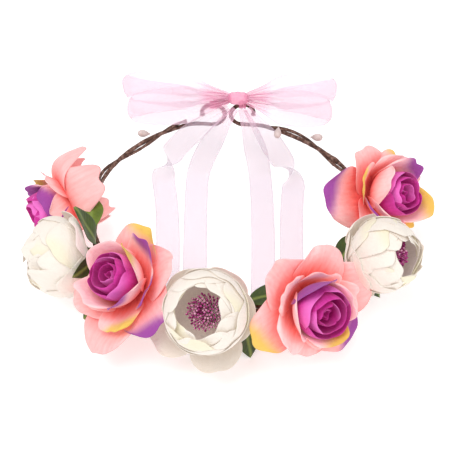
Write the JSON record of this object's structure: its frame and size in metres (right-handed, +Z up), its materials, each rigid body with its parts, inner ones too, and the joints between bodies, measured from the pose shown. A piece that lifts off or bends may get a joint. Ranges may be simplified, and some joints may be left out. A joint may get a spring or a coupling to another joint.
{
  "type": "flower_crown",
  "caption": "Flower crown of silk roses and ranunculus with leaves and berry pips on a twisted wire vine, tied at the back with a long organza ribbon bow.",
  "frame": {"origin": "Middle of the crown's footprint on the table, at the height of the table top.", "axes": "+X is the wearer's left-to-right line with the crown lying on the table, +Y points to the back where the bow is tied, +Z is up."},
  "size_m": [0.2642, 0.237, 0.0796],
  "materials": {
    "vine_bark": "matte",
    "petal_pink": "matte",
    "bud_magenta": "matte",
    "petal_white": "matte",
    "stamen_purple": "matte",
    "leaf_green": "satin",
    "stem_green": "matte",
    "pip_pearl": "satin",
    "ribbon_organza": "satin"
  },
  "bodies": {
    "crown_front": {"vine_front_strand": "vine_bark", "vine_front_twist": "vine_bark", "rose_left_rear_outer_petals": "petal_pink", "rose_left_rear_inner_petals": "petal_pink", "rose_left_rear_bud": "bud_magenta", "rose_left_rear_stem": "stem_green", "rose_left_front_outer_petals": "petal_pink", "rose_left_front_inner_petals": "petal_pink", "rose_left_front_bud": "bud_magenta", "rose_left_front_stem": "stem_green", "rose_right_front_outer_petals": "petal_pink", "rose_right_front_inner_petals": "petal_pink", "rose_right_front_bud": "bud_magenta", "rose_right_front_stem": "stem_green", "rose_right_rear_outer_petals": "petal_pink", "rose_right_rear_inner_petals": "petal_pink", "rose_right_rear_bud": "bud_magenta", "rose_right_rear_stem": "stem_green", "ranunculus_left_guard_petals": "petal_white", "ranunculus_left_cup_petals": "petal_white", "ranunculus_left_stamens": "stamen_purple", "ranunculus_left_stem": "stem_green", "ranunculus_front_guard_petals": "petal_white", "ranunculus_front_cup_petals": "petal_white", "ranunculus_front_stamens": "stamen_purple", "ranunculus_front_stem": "stem_green", "ranunculus_right_guard_petals": "petal_white", "ranunculus_right_cup_petals": "petal_white", "ranunculus_right_stamens": "stamen_purple", "ranunculus_right_stem": "stem_green", "leaf_left_top": "leaf_green", "leaf_left_back": "leaf_green", "leaf_left_front": "leaf_green", "leaf_left_under": "leaf_green", "leaf_front_left": "leaf_green", "leaf_front_right": "leaf_green", "leaf_front_gap": "leaf_green", "leaf_right_inner": "leaf_green", "leaf_right_under": "leaf_green", "pip_left_side": "pip_pearl", "ribbon_knot": "ribbon_organza", "bow_left_upper_loop": "ribbon_organza", "bow_left_lower_loop": "ribbon_organza", "bow_right_upper_loop": "ribbon_organza", "bow_right_lower_loop": "ribbon_organza", "tail_left_inner": "ribbon_organza", "tail_left_outer": "ribbon_organza", "tail_right_inner": "ribbon_organza", "tail_right_outer": "ribbon_organza"},
    "left_arm": {"vine_left_arm_strand": "vine_bark", "vine_left_arm_twist": "vine_bark", "pip_left_arm": "pip_pearl", "ribbon_left_arm_hitch": "ribbon_organza"},
    "right_arm": {"vine_right_arm_strand": "vine_bark", "vine_right_arm_twist": "vine_bark", "pip_right_arm_inner": "pip_pearl", "pip_right_arm_outer": "pip_pearl", "ribbon_right_arm_hitch": "ribbon_organza"}
  },
  "joints": [
    {"name": "left_arm_flex", "type": "hinge", "parent": "crown_front", "child": "left_arm", "pos_m": [-0.08053, 0.03824, 0.034], "axis": [0, 0, 1], "range_deg": [0, 6]},
    {"name": "right_arm_flex", "type": "hinge", "parent": "crown_front", "child": "right_arm", "pos_m": [0.08356, 0.04684, 0.034], "axis": [0, 0, -1], "range_deg": [0, 6]}
  ]
}
